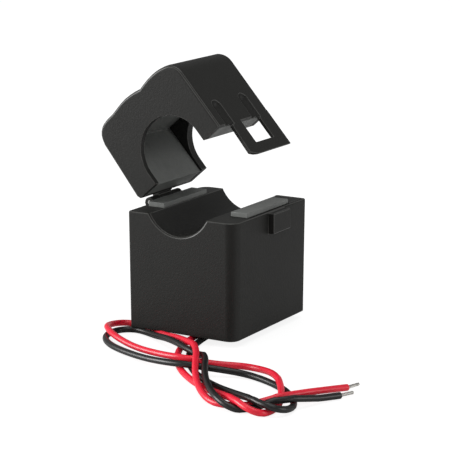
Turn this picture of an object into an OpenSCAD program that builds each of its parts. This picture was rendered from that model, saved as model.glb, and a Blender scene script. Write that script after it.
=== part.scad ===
// Split-core current transformer with a hinged, snap-shut upper half and two flying leads.
// Millimetres, +Z up. The origin is the middle of the conductor opening's axis, which runs along Y.
// Lengths below are laid out in the base's own frame, with x from the middle of the base and z from
// its underside, and in_frame() moves every piece to the origin above.

/* [Base housing] */
// Width of the base, from the hinge side to the latch side
base_w = 31; // [30:0.5:33]
// Length of the base along the conductor
base_d = 36; // [34:0.5:40]
// Height of the base from its underside to the land that the upper half closes over
base_h = 30; // [29:0.5:33]
// Inward draft of each side wall at the underside
draft = 0.3; // [0.1:0.1:0.3]
// Radius of the upright corners at the latch side's front and the hinge side's back
big_corner_r = 3; // [2:0.5:4]
// Radius of the other upright corners
small_corner_r = 0.6; // [0.6:0.1:1]

/* [Conductor opening] */
// Radius of the half-round trough in the base
trough_r = 9.1; // [8.5:0.1:9.5]
// Height of the opening's axis above the land
axis_rise = 4.05; // [3.8:0.05:4.4]
// Offset of the trough from the middle of the base, towards the latch
trough_x = -0.95; // [-1.2:0.05:0]

/* [Magnetic core] */
// Width of each core leg
leg_w = 4.7; // [4.2:0.1:4.9]
// Clear width between the legs
leg_gap = 19.4; // [19:0.1:19.6]
// Depth of the core along the conductor
core_d = 20.6; // [18:0.2:20.6]
// How far the pole faces stand above the land
pole_raise = 1.1; // [0.8:0.1:1.3]

/* [Upper half] */
// Angle from shut to the pose that the part is stored in
open_angle = 41.4; // [0:0.1:48]
// Height of the upper half above the pole faces
lid_h = 21.1; // [20.5:0.1:22]
// Radius of the arch over the conductor
arch_r = 9.35; // [9:0.05:9.6]
// Height of the arch's centre above the parting plane
arch_rise = 3.1; // [2.8:0.1:3.4]

/* [Latch] */
// Width of the catch block on the base
catch_w = 8.4; // [7:0.2:8.6]
// Height of the catch block
catch_h = 5.25; // [4:0.05:5.25]
// How far the catch block stands out from the wall
catch_out = 1.65; // [1:0.05:1.8]

/* [Leads] */
// Outer diameter of each insulated lead
lead_d = 1.6; // [1.2:0.1:1.6]

/* [Hidden] */

// The base's walls
wall = 1.2;
bottom_fillet = 0.25;
top_fillet = 0.35;
rim_depth = 2.4;
cover_t = 2;
cavity_x0 = -leg_gap / 2 - leg_w + 0.1;
cavity_x1 = leg_gap / 2 + leg_w + 0.1;
cavity_y = base_d / 2 - 1.8;
mouth_chamfer = 0.4;

// The core, from its lowest face to the pole faces
axis_z = base_h + axis_rise;
pole_z = base_h + pole_raise;
core_x = 0.1;
yoke_z = 9;
yoke_t = 4.7;
core_chamfer = 1.5;
pocket_y = core_d / 2 + 0.3;

// The bobbin round the lower yoke
bobbin_wall = 0.8;
winding_t = 2.4;
flange_t = 1;
flange_y = core_d / 2 + bobbin_wall + winding_t + 0.8;
flange_z0 = rim_depth + cover_t;
flange_z1 = yoke_z + yoke_t + bobbin_wall + winding_t + 0.6;
tape_t = 0.2;
terminal_r = 0.3;
terminal_len = 3.6;
terminal_y = [6.6, 9.4];

// The hinge, on the left wall at the level of the land
hinge_x = -base_w / 2 - 0.75;
hinge_z = base_h;
knuckle_r = 1.3;
pin_r = 0.5;
pin_play = 0.06;
knuckle_half = 3;
knuckle_gap = 0.1;
knuckle_end = 7;

// The upper half, drawn shut: u from its left edge and v from its parting plane
lid_x = -14.75;
lid_z = pole_z + 0.05;
lid_w = 31.3;
lid_y0 = -12;
lid_y1 = 12.8;
lid_edge = 0.9;
arch_u = 15.8;
upper_gap_u = 5.75;
upper_yoke_v = 14.1;
pad_t = 0.8;
chamber_y = core_d / 2;
relief_r = 1.4;
relief_out = 0.6;
relief_top = 5.6;

// The latch tab, moulded with the upper half
tab_t = 0.95;
tab_y0 = -6.4;
tab_v = -9.9;
tab_corner = [2.8, 1];
tab_lead_in = 0.7;
catch_y = 2.6;
catch_top = base_h - 0.3;
window_w = catch_w + 0.4;
window_v = -6.8;

// The floor under the leads that the base stands on
floor_z = -lead_d - 0.05;
lead_z = floor_z + lead_d / 2;
tip_d = 0.8;
tip_len = 3.8;
sleeve_r = 1.2;
sleeve_h = 1;
red_x = 1.2;
black_x = 4.2;
exit_y = 8;

// Routes of the leads on the floor, from the cover to the bared ends
RED = [
    [red_x, exit_y, 5.2], [red_x, exit_y, 2.4], [red_x, 7, 0.1], [red_x, 4.7, -0.85],
    [1.8, -17, -0.85], [3.2, -24, -0.85], [6.6, -31.6, -0.85], [12.2, -39.6, -0.85],
    [19, -45.8, -0.85], [25.2, -49.8, -0.85], [31.4, -53, -0.4], [37.2, -57.6, 0.85],
    [42.6, -61.6, 0.85], [47.2, -62, -0.7], [48.6, -57.8, -0.85], [47.2, -51.4, -0.85],
    [44.6, -45.8, -0.2], [40.8, -40.4, 0.85], [36.6, -35.6, 0.75], [30.6, -30.6, -0.7],
    [25, -29.8, -0.85], [20.4, -33.4, -0.6], [15.6, -37, 0.8], [10.2, -37.6, 0.85],
    [4.2, -35.4, 0.2], [-5, -32, -0.7], [-14.5, -28.2, 0.6], [-19.4, -24, 0.9],
    [-22.8, -17.4, -0.5], [-21.6, -11.8, -0.85], [-16, -11.2, -0.85], [-10, -14.6, -0.85],
    [-4.5, -18.6, -0.8], [0.5, -21.6, 0.75], [6, -25, 1.2], [11.5, -29.8, 2.1],
    [15.2, -35, 2.5], [18.4, -41, 2.5], [21.6, -47, 1.6], [25.6, -52.6, 0.4],
    [30.4, -57.2, -0.75], [34.8, -59.6, -0.85], [41.2, -57.2, -0.85], [44.2, -54.8, 0.1],
    [47.6, -51.2, 0.95], [50, -45.8, 0.8], [54, -32.8, -0.85]
];
BLACK = [
    [black_x, exit_y, 5.2], [black_x, exit_y, 2.4], [black_x, 7, 0.1], [black_x, 4.7, -0.85],
    [3.8, -12, -0.85], [5.2, -22, -0.85], [9, -30.4, -0.85], [15, -38.8, -0.85],
    [21.6, -44.4, -0.85], [28.5, -48.6, -0.7], [34.6, -52, 0], [40.4, -56, 1],
    [45.2, -59, 1.05], [50, -60, 0.7], [52, -56.4, -0.5], [51, -50.6, -0.85],
    [46.8, -44.6, -0.85], [41, -39.4, -0.85], [29.4, -34.6, -0.85], [24.6, -37.2, -0.2],
    [20, -40.4, 0.75], [14.5, -42, 0.85], [8.5, -41, 0.4], [2, -38.6, -0.5],
    [-11.6, -33.2, -0.85], [-17, -28.4, -0.85], [-19.3, -23.4, -0.85], [-18.6, -18.2, -0.85],
    [-14.8, -15.6, -0.85], [-10.4, -17.4, -0.85], [-6, -20.2, -0.6], [-1.2, -23.2, 0.6],
    [3.6, -26.2, 0.9], [8.6, -29.6, 0.85], [14, -31.6, 0.3], [18, -35.4, 2],
    [20.8, -40.5, 2.4], [23.8, -46.4, 1.7], [27.4, -51.2, 1], [31.4, -56, 0.85],
    [35, -60.2, 0.8], [40, -61.4, -0.85], [43.6, -57.8, -0.8], [47.4, -55.2, 0.85],
    [51.2, -50.6, 0.85], [52.8, -45, -0.3], [55.4, -39, -0.85]
];

// ---------------------------------------------------------------- shared shapes

// Moves a piece from the base's own frame to the part's origin
module in_frame() {
    translate([-trough_x, 0, -axis_z])
        children();
}

// Swings a piece of the upper half from shut to the stored pose
module swung() {
    translate([hinge_x, 0, hinge_z])
        rotate([0, -open_angle, 0])
            translate([-hinge_x, 0, -hinge_z])
                children();
}

// Extrudes an outline drawn in x and z along y, from y0 to y1
module along_y(y0, y1) {
    translate([0, y1, 0])
        rotate([90, 0, 0])
            linear_extrude(y1 - y0)
                children();
}

// Extrudes an outline drawn in y and z along x, from x0 to x1
module along_x(x0, x1) {
    translate([x0, 0, 0])
        rotate([90, 0, 90])
            linear_extrude(x1 - x0)
                children();
}

// A round bar along y
module rod_y(x, z, r, y0, y1) {
    translate([x, y1, z])
        rotate([90, 0, 0])
            cylinder(r = r, h = y1 - y0, $fn = 64);
}

function unit(v) = v / norm(v);
function arc_points(c, r, a0, a1, n) =
    [for (i = [0:n]) let (a = a0 + (a1 - a0) * i / n) c + r * [cos(a), sin(a)]];

// An anticlockwise outline moved inwards by d along the mitre at each corner
function mitre(p, q, r, d) =
    let (a = unit(q - p), b = unit(r - q), na = [-a.y, a.x], nb = [-b.y, b.x])
        q + d * (na + nb) / (1 + na * nb);
function inset(pts, d) =
    let (n = len(pts)) [for (i = [0:n - 1]) mitre(pts[(i + n - 1) % n], pts[i], pts[(i + 1) % n], d)];

// Middle of a ring of points
function middle(ring) = let (n = len(ring)) [for (k = [0:2]) [for (p = ring) 1] * [for (p = ring) p[k]] / n];

// A closed skin through rings of equal count, with each end closed by a fan round its middle
module skin(rings) {
    n = len(rings[0]);
    m = len(rings);
    first = m * n;
    sides = [for (j = [0:m - 2], i = [0:n - 1]) let (k = (i + 1) % n)
        [j * n + i, (j + 1) * n + i, (j + 1) * n + k, j * n + k]];
    start = [for (i = [0:n - 1]) [first, i, (i + 1) % n]];
    end = [for (i = [0:n - 1]) [first + 1, (m - 1) * n + (i + 1) % n, (m - 1) * n + i]];
    polyhedron(
        points = concat([for (ring = rings) each ring], [middle(rings[0]), middle(rings[m - 1])]),
        faces = concat(start, sides, end)
    );
}

// ---------------------------------------------------------------- base

// Plan outline of the base, anticlockwise seen from above
function base_outline() =
    let (w = base_w / 2, d = base_d / 2, s = small_corner_r, b = big_corner_r)
        concat(
            arc_points([-w + s, -d + s], s, 180, 270, 3),
            arc_points([w - b, -d + b], b, 270, 360, 10),
            arc_points([w - s, d - s], s, 0, 90, 3),
            arc_points([-w + b, d - b], b, 90, 180, 10)
        );
function flat_ring(pts, z) = [for (p = pts) [p.x, p.y, z]];

// The outside of the base: drafted walls with a small round at the bottom and top edges
module base_block() {
    f = bottom_fillet;
    t = top_fillet;
    levels = [
        [0, draft + f], [0.3 * f, draft + 0.3 * f], [f, draft], [base_h - t, 0],
        [base_h - 0.3 * t, 0.3 * t], [base_h, t]
    ];
    outline = base_outline();
    skin([for (l = levels) flat_ring(inset(outline, l[1]), l[0])]);
}

// The half-round trough, with a small chamfer at each mouth
module trough() {
    half = base_d / 2;
    rod_y(trough_x, axis_z, trough_r, -half - 1, half + 1);
    for (side = [-1, 1])
        translate([trough_x, side * half, axis_z])
            rotate([side * 90, 0, 0])
                cylinder(r1 = trough_r + mouth_chamfer, r2 = trough_r, h = mouth_chamfer, $fn = 64);
}

// The hollow that holds the core and coil, roofed by the trough's own wall
module base_hollow() {
    difference() {
        translate([cavity_x0, -cavity_y, -1])
            cube([cavity_x1 - cavity_x0, 2 * cavity_y, base_h - wall + 1]);
        rod_y(trough_x, axis_z, trough_r + wall, -base_d, base_d);
    }
    for (x = [cavity_x0, cavity_x1 - leg_w - 0.1])
        translate([x, -pocket_y, yoke_z])
            cube([leg_w + 0.1, 2 * pocket_y, base_h]);
}

// The catch block that the tab's window snaps over
module catch_block() {
    x0 = base_w / 2 - 1;
    x1 = base_w / 2 + catch_out;
    e = 0.15;
    along_y(catch_y - catch_w / 2, catch_y + catch_w / 2)
        polygon([
            [x0, catch_top - catch_h], [x1 - e, catch_top - catch_h], [x1, catch_top - catch_h + e],
            [x1, catch_top - e], [x1 - e, catch_top], [x0, catch_top]
        ]);
}

// A hinge knuckle of the base with the gusset that carries it
module base_knuckle(y0, y1) {
    rod_y(hinge_x, hinge_z, knuckle_r, y0, y1);
    along_y(y0, y1)
        polygon([
            [hinge_x, hinge_z], [hinge_x - knuckle_r, hinge_z - 0.2], [hinge_x - 1.1, hinge_z - 1],
            [-base_w / 2 + 0.2, hinge_z - 4.6], [-base_w / 2 + 0.4, hinge_z - 0.4]
        ]);
}

module base_housing() {
    color("#373734")
        in_frame()
            difference() {
                union() {
                    base_block();
                    catch_block();
                    base_knuckle(-knuckle_end, -knuckle_half - knuckle_gap);
                    base_knuckle(knuckle_half + knuckle_gap, knuckle_end);
                }
                trough();
                base_hollow();
                rod_y(hinge_x, hinge_z, pin_r, -knuckle_end - 1, knuckle_end + 1);
                rod_y(hinge_x, hinge_z, knuckle_r + 0.2, -knuckle_half - knuckle_gap, knuckle_half + knuckle_gap);
            }
}

// The plate glued into the underside, with a bore for each lead
module bottom_cover() {
    color("#2b2b29")
        in_frame()
            difference() {
                translate([cavity_x0, -cavity_y, rim_depth])
                    cube([cavity_x1 - cavity_x0, 2 * cavity_y, cover_t]);
                for (x = [red_x, black_x])
                    translate([x, exit_y, rim_depth - 1])
                        cylinder(r = lead_d / 2 + 0.05, h = cover_t + 2, $fn = 32);
            }
}

// U-shaped core with its outer corners cut, drawn in x and z with the poles at z = 0
module core_outline(height) {
    half = leg_gap / 2;
    out = half + leg_w;
    c = core_chamfer;
    polygon([
        [-out, 0], [-out, -height + c], [-out + c, -height], [out - c, -height], [out, -height + c],
        [out, 0], [half, 0], [half, -height + yoke_t], [-half, -height + yoke_t], [-half, 0]
    ]);
}

module lower_core() {
    color("#6a6a68")
        in_frame()
            translate([core_x, 0, pole_z])
                along_y(-core_d / 2, core_d / 2)
                    core_outline(pole_z - yoke_z);
}

// Rounded rectangle round the yoke's section, grown by g and drawn in y and z
module yoke_section(g) {
    z0 = yoke_z - g;
    h = yoke_t + 2 * g;
    w = core_d + 2 * g;
    translate([-w / 2 + g, z0])
        square([w - 2 * g, h]);
    translate([-w / 2, z0 + g])
        square([w, h - 2 * g]);
    for (y = [-w / 2 + g, w / 2 - g], z = [z0 + g, z0 + h - g])
        translate([y, z])
            circle(r = g, $fn = 48);
}

module coil_bobbin() {
    half = leg_gap / 2;
    color("#e8e4d8")
        in_frame()
            translate([core_x, 0, 0])
                difference() {
                    union() {
                        along_x(-half, half)
                            yoke_section(bobbin_wall);
                        for (x = [-half, half - flange_t])
                            translate([x, -flange_y, flange_z0])
                                cube([flange_t, 2 * flange_y, flange_z1 - flange_z0]);
                    }
                    along_x(-half - 1, half + 1)
                        translate([-core_d / 2, yoke_z])
                            square([core_d, yoke_t]);
                    for (y = terminal_y)
                        pin_bar(y, half - flange_t - 1, half + 1);
                }
}

// A layer wound round the bobbin, between the flanges
module wound_layer(inner, outer, end_gap) {
    half = leg_gap / 2 - flange_t - end_gap;
    in_frame()
        translate([core_x, 0, 0])
            along_x(-half, half)
                difference() {
                    yoke_section(outer);
                    yoke_section(inner);
                }
}

module secondary_winding() {
    color("#b5622e")
        wound_layer(bobbin_wall, bobbin_wall + winding_t, 0);
}

module winding_tape() {
    color("#d9c23a")
        wound_layer(bobbin_wall + winding_t, bobbin_wall + winding_t + tape_t, 0.2);
}

// A bar along x at the height of the terminal pins
module pin_bar(y, x0, x1) {
    translate([x0, y, flange_z0 + 0.55])
        rotate([0, 90, 0])
            cylinder(r = terminal_r, h = x1 - x0, $fn = 32);
}

// Two tinned pins pressed through the right flange, where the coil's ends meet the leads
module bobbin_pins() {
    color("#c8c8c4")
        in_frame()
            for (y = terminal_y)
                pin_bar(y, leg_gap / 2 - terminal_len, leg_gap / 2 + core_x);
}

// Shrink sleeve over a lead's joint, standing on the cover above its bore
module lead_sleeve(x) {
    in_frame()
        difference() {
            translate([x, exit_y, rim_depth + cover_t])
                cylinder(r = sleeve_r, h = sleeve_h, $fn = 32);
            translate([x, exit_y, rim_depth + cover_t - 1])
                cylinder(r = lead_d / 2, h = 5, $fn = 32);
        }
}

module lead_sleeve_red() {
    color("#1c1c1c")
        lead_sleeve(red_x);
}

module lead_sleeve_black() {
    color("#1c1c1c")
        lead_sleeve(black_x);
}

module hinge_pin() {
    color("#b8b8b6")
        in_frame()
            rod_y(hinge_x, hinge_z, pin_r, -knuckle_end + 0.1, knuckle_end - 0.1);
}

// ---------------------------------------------------------------- leads

// Ring of eight points round a route's point, square to the way it runs
function tangent(p, i) = unit(p[min(i + 1, len(p) - 1)] - p[max(i - 1, 0)]);
function sideways(t) = abs(t.z) > 0.8 ? [1, 0, 0] : unit(cross([0, 0, 1], t));
function tube_ring(c, t, r) =
    let (s = sideways(t), w = cross(t, s))
        [for (k = [0:7]) c + r * (cos(45 * k + 22.5) * s + sin(45 * k + 22.5) * w)];
module tube(route, d) {
    skin([for (i = [len(route) - 1:-1:0]) tube_ring(route[i], tangent(route, i), d / 2)]);
}

// The stripped end of a lead, straight on from the route's last two points
module bare_tip(route) {
    last = route[len(route) - 1];
    way = unit(last - route[len(route) - 2]);
    flat_way = unit([way.x, way.y, 0]);
    translate(last)
        rotate([0, 90, atan2(flat_way.y, flat_way.x)])
            cylinder(r = tip_d / 2, h = tip_len, $fn = 24);
}

module lead_red() {
    color("#d8283a")
        in_frame()
            tube(RED, lead_d);
}

module lead_black() {
    color("#262626")
        in_frame()
            tube(BLACK, lead_d);
}

module lead_tip_red() {
    color("#c9c6c0")
        in_frame()
            bare_tip(RED);
}

module lead_tip_black() {
    color("#c9c6c0")
        in_frame()
            bare_tip(BLACK);
}

// ---------------------------------------------------------------- upper half

// Front outline of the upper half in u and v: two low swells on top with a dip between them
function lid_outline() =
    let (h = lid_h)
        concat(
            [[0, 0], [lid_w, 0]],
            arc_points([lid_w - 4.8, h - 4.8], 4.8, 0, 56, 8),
            [
                [28.1, h - 0.4], [26.6, h], [25.2, h + 0.25], [23.7, h + 0.35], [22, h + 0.3],
                [20.2, h + 0.1], [18.4, h - 0.2], [16.8, h + 0.2], [15, h + 0.5], [13.1, h + 0.65],
                [11.2, h + 0.55], [9.4, h + 0.3], [7.6, h + 0.05], [5.2, h]
            ],
            [[3.7, h - 0.25], [2.8, h - 0.6], [1.9, h - 1.2], [1.2, h - 2], [0.7, h - 3], [0.3, h - 4.5]],
            [[-0.55, 1]]
        );

// Rounded front and rear edges all round, with the parting plane left flat
module lid_block() {
    outline = lid_outline();
    e = lid_edge;
    stations = [
        [lid_y1, e], [lid_y1 - 0.15 * e, 0.5 * e], [lid_y1 - 0.5 * e, 0.15 * e], [lid_y1 - e, 0],
        [lid_y0 + e, 0], [lid_y0 + 0.5 * e, 0.15 * e], [lid_y0 + 0.15 * e, 0.5 * e], [lid_y0, e]
    ];
    skin([
        for (s = stations) let (ring = inset(outline, s[1]))
            [for (i = [0:len(ring) - 1]) [ring[i].x, s[0], i < 2 ? 0 : ring[i].y]]
    ]);
}

// The space between the end plates, which the core and its pad fill
module lid_chamber() {
    u0 = upper_gap_u - leg_w;
    u1 = upper_gap_u + leg_gap + leg_w;
    top = upper_yoke_v + yoke_t + pad_t;
    c = core_chamfer;
    along_y(-chamber_y, chamber_y)
        polygon([[u0, -1], [u1, -1], [u1, top - c], [u1 - c, top], [u0 + c, top], [u0, top - c]]);
}

// The arch over the conductor, straight at its foot
module lid_arch() {
    rod_y(arch_u, arch_rise, arch_r, lid_y0 - 1, lid_y1 + 1);
    translate([arch_u - arch_r, lid_y0 - 1, -1])
        cube([2 * arch_r, lid_y1 - lid_y0 + 2, arch_rise + 1]);
}

// A round-topped groove that lets the latch side flex
module relief(y) {
    translate([lid_w + relief_out, y, -1])
        cylinder(r = relief_r, h = relief_top + 1, $fn = 48);
    translate([lid_w + relief_out, y, relief_top])
        sphere(r = relief_r, $fn = 32);
}

// The latch tab with its window and the lead-in along its lower edge
module latch_tab() {
    u0 = lid_w - tab_t;
    difference() {
        along_x(u0, lid_w)
            polygon([
                [tab_y0, 0.6], [tab_y0 - 0.6, tab_v + tab_corner.y], [tab_y0 - 0.6 + tab_corner.x, tab_v],
                [lid_y1 - 0.3, tab_v], [lid_y1, tab_v + 0.3], [lid_y1, 0.6]
            ]);
        translate([u0 - 1, catch_y - window_w / 2, window_v])
            cube([tab_t + 2, window_w, -window_v]);
        translate([u0, 0, tab_v])
            rotate([0, 45, 0])
                cube([tab_lead_in, 2 * base_d, tab_lead_in], center = true);
    }
}

// The upper half's knuckle and the arm that ties it to the left wall
module lid_knuckle() {
    x = hinge_x - lid_x;
    z = hinge_z - lid_z;
    rod_y(x, z, knuckle_r, -knuckle_half, knuckle_half);
    along_y(-knuckle_half, knuckle_half)
        polygon([
            [x, z], [x + 0.6, z + 0.4], [0.3, 0.15], [0.6, 3.4], [-0.42, 3.4], [x - 1.1, z + 0.7],
            [x - knuckle_r, z]
        ]);
}

module lid_housing() {
    color("#3a3a37")
        in_frame()
            swung()
                translate([lid_x, 0, lid_z])
                    difference() {
                        union() {
                            lid_block();
                            latch_tab();
                            lid_knuckle();
                        }
                        lid_chamber();
                        lid_arch();
                        relief(tab_y0 - 1.1);
                        relief(catch_y + window_w / 2 - 1);
                        rod_y(hinge_x - lid_x, hinge_z - lid_z, pin_r + pin_play, -knuckle_end, knuckle_end);
                    }
}

module upper_core() {
    height = upper_yoke_v + yoke_t;
    color("#6a6a68")
        in_frame()
            swung()
                translate([lid_x + upper_gap_u + leg_gap / 2, 0, lid_z])
                    mirror([0, 0, 1])
                        along_y(-core_d / 2, core_d / 2)
                            core_outline(height);
}

// The resilient pad that presses the core's back, under the roof
module core_pad() {
    half = leg_gap / 2 + leg_w - core_chamfer;
    color("#4b4b4b")
        in_frame()
            swung()
                translate([lid_x + upper_gap_u + leg_gap / 2, 0, lid_z + upper_yoke_v + yoke_t])
                    translate([-half, -core_d / 2, 0])
                        cube([2 * half, core_d, pad_t]);
}

base_housing();
bottom_cover();
lower_core();
coil_bobbin();
secondary_winding();
winding_tape();
bobbin_pins();
lead_sleeve_red();
lead_sleeve_black();
hinge_pin();
lead_red();
lead_black();
lead_tip_red();
lead_tip_black();
lid_housing();
upper_core();
core_pad();
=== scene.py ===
"""Split-core current transformer, opened, standing on its own two leads.

Every piece is built in the part's frame, in metres: +X runs from the hinge side towards the latch,
+Y along the conductor, and +Z up, from the middle of the conductor opening's axis.
"""

import math

import bmesh
import bpy
from mathutils import Matrix, Vector
from mathutils.kdtree import KDTree


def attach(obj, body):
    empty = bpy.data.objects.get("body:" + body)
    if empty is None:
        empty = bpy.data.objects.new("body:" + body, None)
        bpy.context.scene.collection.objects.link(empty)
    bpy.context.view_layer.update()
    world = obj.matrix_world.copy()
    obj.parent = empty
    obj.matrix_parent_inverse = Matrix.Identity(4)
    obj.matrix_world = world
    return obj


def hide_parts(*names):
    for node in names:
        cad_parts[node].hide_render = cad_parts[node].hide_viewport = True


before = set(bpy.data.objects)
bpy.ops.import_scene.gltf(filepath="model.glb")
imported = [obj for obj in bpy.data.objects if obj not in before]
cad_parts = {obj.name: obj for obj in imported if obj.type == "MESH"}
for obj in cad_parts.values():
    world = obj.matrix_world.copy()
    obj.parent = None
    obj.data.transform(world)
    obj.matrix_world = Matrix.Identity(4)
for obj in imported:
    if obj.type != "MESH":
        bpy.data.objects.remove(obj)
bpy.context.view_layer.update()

MM = 0.001

# ---------------------------------------------------------------- sizes, in millimetres

# The base: x from its middle, z from its underside
BASE_H = 30
BASE_HALF_D = 18
AXIS_X = -0.95  # the conductor opening's axis
AXIS_Z = 34.05
HINGE_X = -16.25  # the hinge pin's axis, at the height of the land
HINGE_SIDE = -14.4  # the knuckles' roots lie to the left of this

# The upper half: u from its left edge, v up from its parting plane when it is shut
OPEN_DEGREES = 41.4
LID_FROM_HINGE = (1.5, 0, 1.15)  # where u, y and v are 0, from the hinge pin's axis
LID_W = 31.3
TAB_U = 30.2  # the latch tab lies past this, on the right face
TAB_V = 0.8  # and below this
TAB_REAR = 12.15  # its rear edge, part of the way into the rounding of the edge above it

# The leads
LEAD_R = 0.8
TIP_R = 0.4
TIP_LEN = 3.8
FLOOR_Z = -1.65  # the floor under the leads that the base stands on

# How wide the sharp edges are rounded
HOUSING_EDGE = 0.15
CORE_EDGE = 0.12

BASE = Matrix.Scale(MM, 4) @ Matrix.Translation((-AXIS_X, 0, -AXIS_Z))
LID = (
    BASE @ Matrix.Translation((HINGE_X, 0, BASE_H))
    @ Matrix.Rotation(math.radians(-OPEN_DEGREES), 4, "Y") @ Matrix.Translation(LID_FROM_HINGE)
)


def place(x, y, z):
    """A point given in millimetres in the base's own frame, in metres in the part's frame."""
    return BASE @ Vector((x, y, z))


# ---------------------------------------------------------------- camera, in millimetres

AZIMUTH = math.radians(30.716)
ELEVATION = math.radians(12.794)
DISTANCE = 500.5
LENS = 156.83
SENSOR = 36.0
AIM_HEIGHT = 20  # on the base's upright axis
AIM_RIGHT = 1.971  # and from there across and up the view
AIM_UP = 4.249


def make_camera():
    back = Vector((
        math.sin(AZIMUTH) * math.cos(ELEVATION),
        -math.cos(AZIMUTH) * math.cos(ELEVATION),
        math.sin(ELEVATION),
    ))
    right = Vector((math.cos(AZIMUTH), math.sin(AZIMUTH), 0))
    up = back.cross(right)
    aim = right * AIM_RIGHT + up * AIM_UP + Vector((0, 0, AIM_HEIGHT))
    spot = aim + back * DISTANCE
    data = bpy.data.cameras.new("studio_camera")
    data.lens = LENS
    data.sensor_width = SENSOR
    data.clip_start = 0.01
    data.clip_end = 20
    camera = bpy.data.objects.new("studio_camera", data)
    bpy.context.scene.collection.objects.link(camera)
    turn = Matrix((right, up, back)).transposed().to_4x4()
    camera.matrix_world = Matrix.Translation(place(*spot)) @ turn
    bpy.context.scene.camera = camera


make_camera()

# ---------------------------------------------------------------- materials


def srgb(code):
    """A hex colour as the linear RGBA that sockets take."""
    parts = [int(code[i:i + 2], 16) / 255 for i in (0, 2, 4)]
    linear = [p / 12.92 if p <= 0.04045 else ((p + 0.055) / 1.055) ** 2.4 for p in parts]
    return (*linear, 1.0)


def add_node(tree, kind, settings=None, values=None, links=None):
    """One node with its settings, its socket values and the sockets that feed it."""
    node = tree.nodes.new(kind)
    for key, value in (settings or {}).items():
        setattr(node, key, value)
    for key, value in (values or {}).items():
        node.inputs[key].default_value = value
    for key, (source, output) in (links or {}).items():
        tree.links.new(source.outputs[output], node.inputs[key])
    return node


def new_material(name):
    material = bpy.data.materials.new(name)
    material.use_nodes = True
    material.node_tree.nodes.clear()
    return material, material.node_tree


GLOSS_SPREAD = 0.05  # how far the grain takes the roughness up and down


def grained(name, dark, light, roughness, grain_mm, depth_mm, metallic=0.0, gloss_level=0.5, cloud_mm=6.0):
    """A surface of two close tones in soft clouds, with a fine grain that also breaks up its gloss."""
    material, tree = new_material(name)
    coords = add_node(tree, "ShaderNodeTexCoord")
    clouds = add_node(
        tree, "ShaderNodeTexNoise",
        values={"Scale": 1 / (cloud_mm * MM), "Detail": 3.0, "Roughness": 0.6},
        links={"Vector": (coords, "Object")},
    )
    tint = add_node(
        tree, "ShaderNodeMix", {"data_type": "RGBA"},
        {"A": srgb(dark), "B": srgb(light)}, {"Factor": (clouds, "Fac")},
    )
    grain = add_node(
        tree, "ShaderNodeTexNoise",
        values={"Scale": 1 / (grain_mm * MM), "Detail": 2.0, "Roughness": 0.5},
        links={"Vector": (coords, "Object")},
    )
    gloss = add_node(
        tree, "ShaderNodeMapRange",
        values={"To Min": roughness - GLOSS_SPREAD, "To Max": roughness + GLOSS_SPREAD},
        links={"Value": (grain, "Fac")},
    )
    bump = add_node(
        tree, "ShaderNodeBump", values={"Strength": 0.6, "Distance": depth_mm * MM},
        links={"Height": (grain, "Fac")},
    )
    shader = add_node(
        tree, "ShaderNodeBsdfPrincipled",
        values={"Metallic": metallic, "Specular IOR Level": gloss_level},
        links={
            "Base Color": (tint, "Result"), "Roughness": (gloss, "Result"), "Normal": (bump, "Normal"),
        },
    )
    add_node(tree, "ShaderNodeOutputMaterial", links={"Surface": (shader, "BSDF")})
    return material


# Grains and clouds are in millimetres. The real grains, a tenth of a millimetre and less, are too fine
# to show at this distance, so each is drawn as coarse as it needs to be to break up the light.
MATERIALS = {
    # ABS from a spark-eroded mould: near black and satin, evenly grained
    "housing": grained("moulded_black_abs", "1d1d1b", "232321", 0.52, 0.45, 0.07, gloss_level=0.25),
    # the same ABS on the rounded edges: paler, as painted highlight for the glints the edges catch, and a
    # little glossier
    "painted_edge_highlight": grained("black_abs_painted_edge_highlight", "383836", "454542", 0.4, 0.6, 0.01, cloud_mm=1.5),
    # the same ABS under a smear of glue: the mattest of the three
    "cover": grained("glued_black_abs", "1f1f1e", "262624", 0.62, 0.4, 0.03),
    # silicon-steel strip, wound, bonded and ground: dull grey in small clouds, with a weak metal sheen
    "core": grained("ground_core_steel", "6a6c6a", "7e807d", 0.5, 0.3, 0.04, metallic=0.2, cloud_mm=2.0),
    # natural nylon, moulded: ivory with a soft gloss
    "bobbin": grained("natural_nylon", "d9d4c6", "e8e4d8", 0.5, 0.5, 0.02),
    # copper wire under clear enamel: reddish brown with a varnished shine
    "copper": grained("enamelled_copper", "8a3d18", "b5622e", 0.28, 0.3, 0.04, metallic=0.8),
    # polyester film tape, wrapped tight: an even yellow with a smooth shine
    "tape": grained("polyester_tape", "cdb52e", "dcc748", 0.3, 0.6, 0.01),
    # copper dipped in tin: silvery, with blurred reflections
    "tin": grained("tinned_copper", "b9b7b2", "d6d4cf", 0.32, 0.2, 0.02, metallic=0.9, cloud_mm=1.0),
    # polyolefin sleeve, shrunk on with heat: black and half matt
    "sleeve": grained("shrink_sleeve", "181818", "202020", 0.55, 0.3, 0.01),
    # steel wire, drawn bright: a cool grey with clear reflections
    "steel": grained("drawn_steel_wire", "a8a8a6", "c0c0be", 0.3, 0.2, 0.01, metallic=0.95),
    # PVC, extruded over the strands: a full red, smooth and slightly waxy
    "red_pvc": grained("red_pvc", "f2142e", "fb2444", 0.34, 0.5, 0.01, gloss_level=0.6, cloud_mm=4.0),
    # the same extruded PVC in black: the same soft highlights, a little weaker
    "black_pvc": grained("black_pvc", "131313", "1a1a1a", 0.34, 0.5, 0.01, cloud_mm=4.0),
    # neoprene, cut from sheet: dark grey and matt, with fine pores
    "pad": grained("neoprene_pad", "2e2e2e", "3a3a3a", 0.7, 0.4, 0.04),
}

# ---------------------------------------------------------------- pieces


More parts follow.
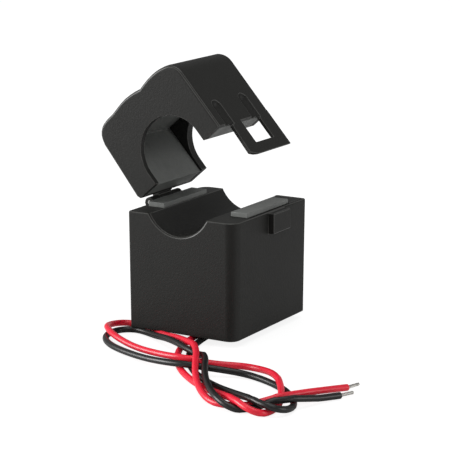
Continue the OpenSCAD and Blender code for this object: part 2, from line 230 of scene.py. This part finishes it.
def new_piece(name, mesh, material, body, *nodes):
    """Puts a finished mesh in the scene on a body, standing for the nodes named."""
    piece = bpy.data.objects.new(name, mesh)
    bpy.context.scene.collection.objects.link(piece)
    if len(mesh.materials) == 0:
        mesh.materials.append(MATERIALS[material])
    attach(piece, body)
    if nodes:
        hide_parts(*nodes)
    return piece


def smooth_all(mesh):
    mesh.polygons.foreach_set("use_smooth", [True] * len(mesh.polygons))


def smooth_by_angle(mesh, degrees):
    smooth_all(mesh)
    mesh.set_sharp_from_angle(angle=math.radians(degrees))


def skin(edit, rings):
    """Joins rings of vertices, each as long as the next, into a tube with flat ends."""
    count = len(rings[0])
    for near, far in zip(rings, rings[1:]):
        for k in range(count):
            edit.faces.new((near[k], near[(k + 1) % count], far[(k + 1) % count], far[k]))
    edit.faces.new(reversed(rings[0]))
    edit.faces.new(rings[-1])


def evaluated_mesh(thing):
    """A plain mesh of an object with its modifiers done."""
    return bpy.data.meshes.new_from_object(thing.evaluated_get(bpy.context.evaluated_depsgraph_get()))


# ---------------------------------------------------------------- housings and cores

TOUCHING = 2e-6  # metres between corners that are one corner
SLIVER = 1e-6  # metres across a face that is no face
FLAT_DEGREES = 0.6  # between triangles of one flat face
CREASE_DEGREES = 25  # from which an edge is rounded
SMOOTH_DEGREES = 38  # up to which faces shade as one
EDGE_SEGMENTS = 3

GROOVE_R = 2.1
GROOVE_OUT = 0.95  # the grooves' axes, out from the right face
GROOVE_FOOT = -0.5  # the cutters start below the parting plane
GROOVE_TOP = 5.2  # where the round top starts
GROOVE_Y = (-7.15, 5.7)


def groove_cutter(y):
    """A round-topped bar along the upper half's right face, its middle standing out of the wall."""
    edit = bmesh.new()
    around = [math.radians(a) for a in range(0, 360, 10)]
    dome = [math.radians(a) for a in range(10, 90, 10)]
    profile = [(GROOVE_R, GROOVE_FOOT), (GROOVE_R, GROOVE_TOP)]
    profile += [(GROOVE_R * math.cos(a), GROOVE_TOP + GROOVE_R * math.sin(a)) for a in dome]
    rings = [
        [edit.verts.new((LID_W + GROOVE_OUT + r * math.cos(a), y + r * math.sin(a), v)) for a in around]
        for r, v in profile
    ]
    skin(edit, rings)
    return edit


def slot_cutter(x0, x1, y0, y1, z0, z1):
    """A box between the planes named, in the base's own frame."""
    edit = bmesh.new()
    bmesh.ops.create_cube(edit, size=1)
    bmesh.ops.scale(edit, vec=(x1 - x0, y1 - y0, z1 - z0), verts=edit.verts)
    bmesh.ops.translate(edit, vec=((x0 + x1) / 2, (y0 + y1) / 2, (z0 + z1) / 2), verts=edit.verts)
    return edit


def cut(target, cutter, matrix):
    """Takes a cutter, drawn in one of the halves' own frames, out of an object's mesh."""
    mesh = bpy.data.meshes.new("cutter")
    cutter.transform(matrix)
    bmesh.ops.recalc_face_normals(cutter, faces=cutter.faces)
    cutter.to_mesh(mesh)
    cutter.free()
    tool = bpy.data.objects.new("cutter", mesh)
    bpy.context.scene.collection.objects.link(tool)
    step = target.modifiers.new("cut", "BOOLEAN")
    step.operation = "DIFFERENCE"
    step.solver = "EXACT"
    step.object = tool
    result = evaluated_mesh(target)
    target.modifiers.remove(step)
    target.data = result
    bpy.data.objects.remove(tool)


def whole_faces(node):
    """A copy of the node's mesh with its loose triangles merged into whole faces."""
    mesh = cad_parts[node].data.copy()
    edit = bmesh.new()
    edit.from_mesh(mesh)
    bmesh.ops.remove_doubles(edit, verts=edit.verts, dist=TOUCHING)
    bmesh.ops.dissolve_limit(
        edit, angle_limit=math.radians(FLAT_DEGREES), verts=edit.verts, edges=edit.edges,
        use_dissolve_boundaries=False,
    )
    edit.to_mesh(mesh)
    edit.free()
    mesh.materials.clear()
    return mesh


def rounded_copy(node, width_mm, finishes=(), cutters=(), matrix=None):
    """The node's solid, cut, with its sharp edges rounded. A second finish, paler as painted highlight, goes
    on the edges.
    """
    copy = bpy.data.objects.new("rounding", whole_faces(node))
    bpy.context.scene.collection.objects.link(copy)
    for cutter in cutters:
        cut(copy, cutter, matrix)
    copy.data.materials.clear()
    for finish in finishes:
        copy.data.materials.append(MATERIALS[finish])
    bevel = copy.modifiers.new("edges", "BEVEL")
    bevel.width = width_mm * MM
    bevel.segments = EDGE_SEGMENTS
    bevel.limit_method = "ANGLE"
    bevel.angle_limit = math.radians(CREASE_DEGREES)
    bevel.miter_outer = "MITER_ARC"
    bevel.use_clamp_overlap = False
    if len(finishes) > 1:
        # the rounded edges take the second material, which is paler as painted highlight
        bevel.material = 1
    weight = copy.modifiers.new("flats", "WEIGHTED_NORMAL")
    weight.keep_sharp = True
    smooth_by_angle(copy.data, SMOOTH_DEGREES)
    result = evaluated_mesh(copy)
    bpy.data.objects.remove(copy)
    return result


def hold(mesh, matrix, limit):
    """Moves each vertex to what limit gives for it in a half's own frame, then drops the slivers left."""
    back = matrix.inverted()
    for vertex in mesh.vertices:
        vertex.co = matrix @ Vector(limit(*(back @ vertex.co)))
    edit = bmesh.new()
    edit.from_mesh(mesh)
    bmesh.ops.dissolve_degenerate(edit, dist=SLIVER, edges=edit.edges)
    edit.to_mesh(mesh)
    edit.free()
    return mesh


def within_block(x, y, z):
    """Keeps what rounding pushed out at the trough's mouths inside the base's block."""
    if x <= HINGE_SIDE:
        return (x, y, z)
    return (x, max(min(y, BASE_HALF_D), -BASE_HALF_D), min(z, BASE_H))


def tab_in_line(u, y, v):
    """Brings the tab's rear edge in line with the rounded edge above it."""
    if u <= TAB_U or v >= TAB_V:
        return (u, y, v)
    return (u, min(y, TAB_REAR), v)


def make_base_shell():
    """The base's housing, with the narrow slots beside the right pole and near the left wall."""
    slots = [
        slot_cutter(14.5, 14.85, -10, 16.4, 29.2, 31),
        slot_cutter(-14.93, -14.62, -17.1, -10.6, 29.4, 31),
    ]
    mesh = rounded_copy("base_housing", HOUSING_EDGE, ("housing", "painted_edge_highlight"), slots, BASE)
    new_piece("base_shell", hold(mesh, BASE, within_block), "housing", "base", "base_housing")


def make_lid_shell():
    """The upper half's housing, with the two grooves that let the latch tab flex."""
    grooves = [groove_cutter(y) for y in GROOVE_Y]
    mesh = rounded_copy("lid_housing", HOUSING_EDGE, ("housing", "painted_edge_highlight"), grooves, LID)
    new_piece("lid_shell", hold(mesh, LID, tab_in_line), "housing", "lid", "lid_housing")


def make_cores():
    lower = rounded_copy("lower_core", CORE_EDGE)
    upper = rounded_copy("upper_core", CORE_EDGE)
    new_piece("lower_core_ground", lower, "core", "base", "lower_core")
    new_piece("upper_core_ground", upper, "core", "lid", "upper_core")


# ---------------------------------------------------------------- leads

# Routes in millimetres in the base's own frame, from the joint inside to the bared end
RED_ROUTE = [
    (1.2, 8, 5.2), (1.2, 8, 2.4), (1.2, 7.75, 1.15), (1.2, 7.05, 0.1), (1.2, 6, -0.6),
    (1.2, 4.75, -0.85), (1.2, 1.8, -0.85), (1.3, -3, -0.85), (1.5, -10, -0.85), (1.8, -17, -0.85),
    (3.2, -24, -0.85), (6.6, -31.6, -0.85), (12.2, -39.6, -0.85), (19, -45.8, -0.85),
    (25.2, -49.8, -0.85), (31.4, -53, -0.4), (37.2, -57.6, 0.85), (42.6, -61.6, 0.85),
    (47.2, -62, -0.7), (48.6, -57.8, -0.85), (47.2, -51.4, -0.85), (44.6, -45.8, -0.2),
    (40.8, -40.4, 0.85), (36.6, -35.6, 0.75), (30.6, -30.6, -0.7), (25, -29.8, -0.85),
    (20.4, -33.4, -0.6), (15.6, -37, 0.8), (10.2, -37.6, 0.85), (4.2, -35.4, 0.2),
    (-5, -32, -0.7), (-14.5, -28.2, 0.6), (-19.4, -24, 0.9), (-22.8, -17.4, -0.5),
    (-21.6, -11.8, -0.85), (-16, -11.2, -0.85), (-10, -14.6, -0.85), (-4.5, -18.6, -0.8),
    (0.5, -21.6, 0.75), (6, -25, 1.2), (11.5, -29.8, 2.1), (15.2, -35, 2.5),
    (18.4, -41, 2.5), (21.6, -47, 1.6), (25.6, -52.6, 0.4), (30.4, -57.2, -0.75),
    (34.8, -59.6, -0.85), (41.2, -57.2, -0.85), (44.2, -54.8, 0.1), (47.6, -51.2, 0.95),
    (50, -45.8, 0.8), (54, -32.8, -0.85),
]
BLACK_ROUTE = [
    (4.2, 8, 5.2), (4.2, 8, 2.4), (4.2, 7.75, 1.15), (4.2, 7.05, 0.1), (4.2, 6, -0.6),
    (4.2, 4.75, -0.85), (4.2, 1.8, -0.85), (4.1, -4, -0.85), (3.8, -12, -0.85),
    (5.2, -22, -0.85), (9, -30.4, -0.85), (15, -38.8, -0.85), (21.6, -44.4, -0.85),
    (28.5, -48.6, -0.7), (34.6, -52, 0), (40.4, -56, 1), (45.2, -59, 1.05),
    (50, -60, 0.7), (52, -56.4, -0.5), (51, -50.6, -0.85), (46.8, -44.6, -0.85),
    (41, -39.4, -0.85), (29.4, -34.6, -0.85), (24.6, -37.2, -0.2), (20, -40.4, 0.75),
    (14.5, -42, 0.85), (8.5, -41, 0.4), (2, -38.6, -0.5), (-11.6, -33.2, -0.85),
    (-17, -28.4, -0.85), (-19.3, -23.4, -0.85), (-18.6, -18.2, -0.85), (-14.8, -15.6, -0.85),
    (-10.4, -17.4, -0.85), (-6, -20.2, -0.6), (-1.2, -23.2, 0.6), (3.6, -26.2, 0.9),
    (8.6, -29.6, 0.85), (14, -31.6, 0.3), (18, -35.4, 2), (20.8, -40.5, 2.4),
    (23.8, -46.4, 1.7), (27.4, -51.2, 1), (31.4, -56, 0.85), (35, -60.2, 0.8),
    (40, -61.4, -0.85), (43.6, -57.8, -0.8), (47.4, -55.2, 0.85), (51.2, -50.6, 0.85),
    (52.8, -45, -0.3), (55.4, -39, -0.85),
]

LINE_STEPS = 6  # points of the smooth line to each point of the route
HELD_POINTS = 32  # points of the line down to the elbow under the base, which stay put
HELD_TAIL = 7  # points before the bared end that aren't eased
HELD_END = 2  # points before the bared end that aren't moved at all
EASE_ROUNDS = 90
EASE = 0.6  # share of the way to the even curve that a point goes in a round
RETURN = 0.06  # and then of the way back to the route
PUSH_ROUNDS = 3  # in each round of easing
PUSH = 0.3  # share of an overlap that one push takes away
PUSH_UP = 3  # leads that cross part upwards this much more than sideways
REACH = 1.8  # leads whose middles come closer than this push each other apart
OWN_POINTS = 9  # neighbours along one lead that don't

TUBE_SIDES = 14
TUBE_SMOOTH_DEGREES = 50


def smooth_route(route):
    """A Catmull-Rom line through the route's points."""
    points = [Vector(p) for p in route]
    last = len(points) - 1
    line = []
    for i in range(last):
        a, b, c, d = points[max(i - 1, 0)], points[i], points[i + 1], points[min(i + 2, last)]
        for k in range(LINE_STEPS):
            t = k / LINE_STEPS
            line.append(0.5 * (
                2 * b + (c - a) * t + (2 * a - 5 * b + 4 * c - d) * t ** 2 + (3 * b - a - 3 * c + d) * t ** 3
            ))
    line.append(points[-1])
    return line


def ease(line, home):
    """Draws each free point towards the even curve through its neighbours, and a little back home."""
    old = [p.copy() for p in line]
    for i in range(HELD_POINTS, len(line) - HELD_TAIL):
        even = (
            old[i - 3] + 2 * old[i - 2] + 3 * old[i - 1] + 3 * old[i + 1] + 2 * old[i + 2] + old[i + 3]
        ) / 12
        line[i] = old[i].lerp(even, EASE).lerp(home[i], RETURN)


def push_apart(lines):
    """Moves points that lie too close to a lead away from it, and lifts those under the floor."""
    owners = [(n, i) for n, line in enumerate(lines) for i in range(len(line))]
    tree = KDTree(len(owners))
    for key, (n, i) in enumerate(owners):
        tree.insert(lines[n][i], key)
    tree.balance()
    for n, line in enumerate(lines):
        for i in range(HELD_POINTS, len(line) - HELD_END):
            point = line[i]
            push = Vector()
            for other, key, gap in tree.find_range(point, REACH):
                m, j = owners[key]
                if m != n or abs(i - j) > OWN_POINTS:
                    way = point - other
                    way.z *= PUSH_UP
                    push += way.normalized() * (REACH - gap) * PUSH
            line[i] = point + push
            line[i].z = max(line[i].z, FLOOR_Z + LEAD_R)


def settle(lines):
    """Lets springy leads ease into even curves, lying on the floor and on each other but not through."""
    homes = [[p.copy() for p in line] for line in lines]
    for _ in range(EASE_ROUNDS):
        for line, home in zip(lines, homes):
            ease(line, home)
        for _ in range(PUSH_ROUNDS):
            push_apart(lines)
    return [[place(*p) for p in line] for line in lines]


def tube_mesh(name, line, radius):
    """A closed tube along a line, with flat ends."""
    mesh = bpy.data.meshes.new(name)
    edit = bmesh.new()
    rings = []
    normal = (line[1] - line[0]).normalized().orthogonal()
    for i, point in enumerate(line):
        way = (line[min(i + 1, len(line) - 1)] - line[max(i - 1, 0)]).normalized()
        normal = (normal - way * normal.dot(way)).normalized()
        across = way.cross(normal)
        rings.append([
            edit.verts.new(point + radius * (normal * math.cos(a) + across * math.sin(a)))
            for a in (2 * math.pi * k / TUBE_SIDES for k in range(TUBE_SIDES))
        ])
    skin(edit, rings)
    bmesh.ops.recalc_face_normals(edit, faces=edit.faces)
    edit.to_mesh(mesh)
    edit.free()
    smooth_by_angle(mesh, TUBE_SMOOTH_DEGREES)
    return mesh


def strand_group():
    """Nodes that lay wires in a twist round a straight middle one. Their sizes are in millimetres."""
    group = bpy.data.node_groups.new("twisted_strands", "GeometryNodeTree")
    group.interface.new_socket("Geometry", in_out="OUTPUT", socket_type="NodeSocketGeometry")
    for name, kind in (
        ("Strand Radius", "NodeSocketFloat"), ("Lay Radius", "NodeSocketFloat"),
        ("Length", "NodeSocketFloat"), ("Turns", "NodeSocketFloat"),
        ("Outer Strands", "NodeSocketInt"), ("Material", "NodeSocketMaterial"),
    ):
        group.interface.new_socket(name, in_out="INPUT", socket_type=kind)
    given = group.nodes.new("NodeGroupInput")
    section = add_node(
        group, "GeometryNodeCurvePrimitiveCircle", values={"Resolution": 10},
        links={"Radius": (given, "Strand Radius")},
    )

    # one outer strand
    helix = add_node(
        group, "GeometryNodeCurveSpiral", values={"Resolution": 40},
        links={
            "Rotations": (given, "Turns"), "Start Radius": (given, "Lay Radius"),
            "End Radius": (given, "Lay Radius"), "Height": (given, "Length"),
        },
    )
    wound = add_node(
        group, "GeometryNodeCurveToMesh", values={"Fill Caps": True},
        links={"Curve": (helix, "Curve"), "Profile Curve": (section, "Curve")},
    )

    # the middle strand
    top = add_node(group, "ShaderNodeCombineXYZ", links={"Z": (given, "Length")})
    axis = add_node(group, "GeometryNodeCurvePrimitiveLine", links={"End": (top, "Vector")})
    straight = add_node(
        group, "GeometryNodeCurveToMesh", values={"Fill Caps": True},
        links={"Curve": (axis, "Curve"), "Profile Curve": (section, "Curve")},
    )

    # the outer strands, turned evenly about the middle one
    places = add_node(group, "GeometryNodePoints", links={"Count": (given, "Outer Strands")})
    order = add_node(group, "GeometryNodeInputIndex")
    share = add_node(
        group, "ShaderNodeMath", {"operation": "DIVIDE"},
        links={0: (order, "Index"), 1: (given, "Outer Strands")},
    )
    angle = add_node(
        group, "ShaderNodeMath", {"operation": "MULTIPLY"}, {1: 2 * math.pi}, {0: (share, "Value")}
    )
    turn = add_node(group, "ShaderNodeCombineXYZ", links={"Z": (angle, "Value")})
    ring = add_node(
        group, "GeometryNodeInstanceOnPoints",
        links={"Points": (places, "Points"), "Instance": (wound, "Mesh"), "Rotation": (turn, "Vector")},
    )

    bundle = add_node(group, "GeometryNodeJoinGeometry", links={"Geometry": (ring, "Instances")})
    group.links.new(straight.outputs["Mesh"], bundle.inputs["Geometry"])
    real = add_node(group, "GeometryNodeRealizeInstances", links={"Geometry": (bundle, "Geometry")})
    finish = add_node(
        group, "GeometryNodeSetMaterial",
        links={"Geometry": (real, "Geometry"), "Material": (given, "Material")},
    )
    add_node(group, "NodeGroupOutput", links={"Geometry": (finish, "Geometry")})
    return group


def from_group(group, settings):
    """The mesh that a node group makes from the inputs named."""
    host = bpy.data.objects.new("host", bpy.data.meshes.new("host"))
    bpy.context.scene.collection.objects.link(host)
    step = host.modifiers.new("nodes", "NODES")
    step.node_group = group
    for item in group.interface.items_tree:
        if item.in_out == "INPUT" and item.name in settings:
            step[item.identifier] = settings[item.name]
    host.update_tag()
    mesh = evaluated_mesh(host)
    host.modifiers.remove(step)
    bpy.data.objects.remove(host)
    return mesh


def make_tip(colour, route, group, turns):
    """The bared end: seven tinned strands twisted together, straight on from the insulation."""
    mesh = from_group(group, {
        "Strand Radius": TIP_R / 3, "Lay Radius": 2 * TIP_R / 3, "Length": TIP_LEN, "Turns": turns,
        "Outer Strands": 6, "Material": MATERIALS["tin"],
    })
    end, before = Vector(route[-1]), Vector(route[-2])
    way = Vector((end.x - before.x, end.y - before.y, 0)).normalized()
    mesh.transform(BASE @ Matrix.Translation(end) @ way.to_track_quat("Z", "Y").to_matrix().to_4x4())
    smooth_all(mesh)
    return new_piece("strands_" + colour, mesh, "tin", "base", "lead_tip_" + colour)


def make_lead(colour, route, line, group, turns):
    """One insulated lead with its bared, twisted end."""
    mesh = tube_mesh("lead_" + colour, line, LEAD_R * MM)
    lead = new_piece("lead_" + colour + "_pvc", mesh, colour + "_pvc", "base", "lead_" + colour)
    tip = make_tip(colour, route, group, turns)


def make_leads():
    red_line, black_line = settle([smooth_route(RED_ROUTE), smooth_route(BLACK_ROUTE)])
    strands = strand_group()
    make_lead("red", RED_ROUTE, red_line, strands, turns=0.6)
    make_lead("black", BLACK_ROUTE, black_line, strands, turns=0.7)


# ---------------------------------------------------------------- the part

# The nodes that keep their own solids, and their finishes
PLAIN_NODES = {
    "bottom_cover": "cover", "coil_bobbin": "bobbin", "secondary_winding": "copper",
    "winding_tape": "tape", "bobbin_pins": "tin", "lead_sleeve_red": "sleeve",
    "lead_sleeve_black": "sleeve", "hinge_pin": "steel", "core_pad": "pad",
}

make_leads()
make_base_shell()
make_lid_shell()
make_cores()
for node, slot in PLAIN_NODES.items():
    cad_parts[node].data.materials[0] = MATERIALS[slot]

# ---------------------------------------------------------------- studio, in metres

FLOOR_HALF = 4.0
FLOOR_GLOW = 0.86  # what the floor adds to its own tone where the camera sees it
SKY_STRENGTH = 0.29  # the even light from all round


def make_floor():
    """A pale floor that keeps the object's shadow and otherwise looks white."""
    mesh = bpy.data.meshes.new("studio_floor")
    z = place(0, 0, FLOOR_Z).z
    corners = [(x * FLOOR_HALF, y * FLOOR_HALF, z) for x, y in ((-1, -1), (1, -1), (1, 1), (-1, 1))]
    mesh.from_pydata(corners, [], [(0, 1, 2, 3)])
    floor = bpy.data.objects.new("studio_floor", mesh)
    bpy.context.scene.collection.objects.link(floor)
    material, tree = new_material("white_floor")
    path = add_node(tree, "ShaderNodeLightPath")
    lift = add_node(
        tree, "ShaderNodeMath", {"operation": "MULTIPLY"}, {1: FLOOR_GLOW}, {0: (path, "Is Camera Ray")}
    )
    tone = add_node(
        tree, "ShaderNodeMix", {"data_type": "RGBA"}, {"A": srgb("dcdcdc"), "B": srgb("9a9a9a")},
        {"Factor": (path, "Is Camera Ray")},
    )
    matt = add_node(tree, "ShaderNodeBsdfDiffuse", links={"Color": (tone, "Result")})
    glow = add_node(
        tree, "ShaderNodeEmission", values={"Color": (1, 1, 1, 1)}, links={"Strength": (lift, "Value")}
    )
    both = add_node(tree, "ShaderNodeAddShader", links={0: (matt, "BSDF"), 1: (glow, "Emission")})
    add_node(tree, "ShaderNodeOutputMaterial", links={"Surface": (both, "Shader")})
    mesh.materials.append(material)


def make_world():
    """A dim, even light from all round, which the camera sees as white."""
    world = bpy.data.worlds.new("studio_world")
    world.use_nodes = True
    tree = world.node_tree
    tree.nodes.clear()
    path = add_node(tree, "ShaderNodeLightPath")
    strength = add_node(
        tree, "ShaderNodeMix", {"data_type": "FLOAT"}, {"A": SKY_STRENGTH, "B": 1.0},
        {"Factor": (path, "Is Camera Ray")},
    )
    sky = add_node(
        tree, "ShaderNodeBackground", values={"Color": (1, 1, 1, 1)}, links={"Strength": (strength, "Result")}
    )
    add_node(tree, "ShaderNodeOutputWorld", links={"Surface": (sky, "Background")})
    bpy.context.scene.world = world


def add_softbox(name, spot, size, watts):
    """A softbox that faces the middle of the conductor opening."""
    data = bpy.data.lights.new(name, "AREA")
    data.shape = "RECTANGLE"
    data.size, data.size_y = size
    data.energy = watts
    light = bpy.data.objects.new(name, data)
    bpy.context.scene.collection.objects.link(light)
    way = Vector((0, 0, 0)) - Vector(spot)
    light.matrix_world = Matrix.Translation(spot) @ way.to_track_quat("-Z", "Y").to_matrix().to_4x4()


make_floor()
make_world()
add_softbox("left_softbox", (-0.847, -0.489, 0.208), (0.6, 0.5), 9.6)
add_softbox("right_softbox", (0.970, 0.171, 0.174), (0.6, 0.5), 2.7)
add_softbox("front_softbox", (0.354, -0.612, 0.707), (0.6, 0.5), 0.8)
add_softbox("top_softbox", (0, 0, 1.0), (0.7, 0.7), 2.8)
bpy.context.scene.view_settings.view_transform = "Standard"
